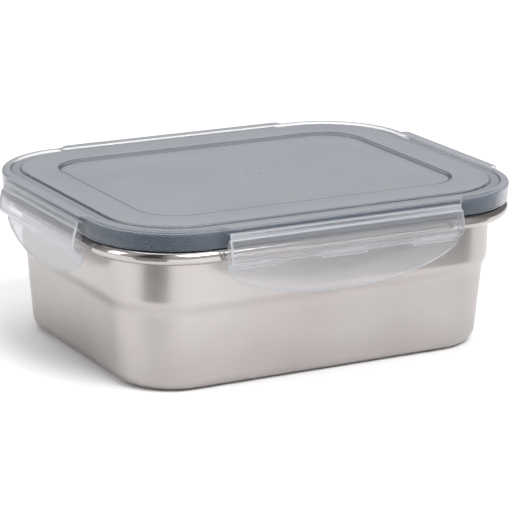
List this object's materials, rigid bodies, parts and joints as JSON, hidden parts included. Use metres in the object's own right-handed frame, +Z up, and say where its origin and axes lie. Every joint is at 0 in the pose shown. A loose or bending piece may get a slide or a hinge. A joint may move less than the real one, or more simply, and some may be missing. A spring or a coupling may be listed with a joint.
{
  "type": "lunch box",
  "caption": "Rectangular steel lunch box with a stacking step, a plastic lid, a silicone gasket and a hinged latch on each side.",
  "frame": {"origin": "under the middle of the box, on the surface it stands on", "axes": "+X along the long sides, +Y from the front to the back, +Z up"},
  "size_m": [0.2138, 0.1704, 0.074],
  "materials": {
    "steel": "satin",
    "lid_plastic": "smooth translucent polypropylene",
    "latch_plastic": "frosted translucent polypropylene",
    "silicone": "matte slate-blue silicone"
  },
  "bodies": {
    "container": {"container": "steel"},
    "lid": {"lid": "lid_plastic", "gasket": "silicone", "front_hinge_web": "latch_plastic", "right_hinge_web": "latch_plastic", "back_hinge_web": "latch_plastic", "left_hinge_web": "latch_plastic"},
    "front_latch": {"front_latch": "latch_plastic"},
    "right_latch": {"right_latch": "latch_plastic"},
    "back_latch": {"back_latch": "latch_plastic"},
    "left_latch": {"left_latch": "latch_plastic"}
  },
  "joints": [
    {"name": "lid_lift", "type": "slide", "parent": "container", "child": "lid", "axis": [0, 0, 1], "range_m": [0, 0.09]},
    {"name": "front_latch_hinge", "type": "hinge", "parent": "lid", "child": "front_latch", "pos_m": [0, -0.08285, 0.0705], "axis": [-1, 0, 0], "range_deg": [0, 120]},
    {"name": "right_latch_hinge", "type": "hinge", "parent": "lid", "child": "right_latch", "pos_m": [0.1046, 0, 0.0705], "axis": [0, -1, 0], "range_deg": [0, 120]},
    {"name": "back_latch_hinge", "type": "hinge", "parent": "lid", "child": "back_latch", "pos_m": [0, 0.08285, 0.0705], "axis": [1, 0, 0], "range_deg": [0, 120]},
    {"name": "left_latch_hinge", "type": "hinge", "parent": "lid", "child": "left_latch", "pos_m": [-0.1046, 0, 0.0705], "axis": [0, 1, 0], "range_deg": [0, 120]}
  ]
}
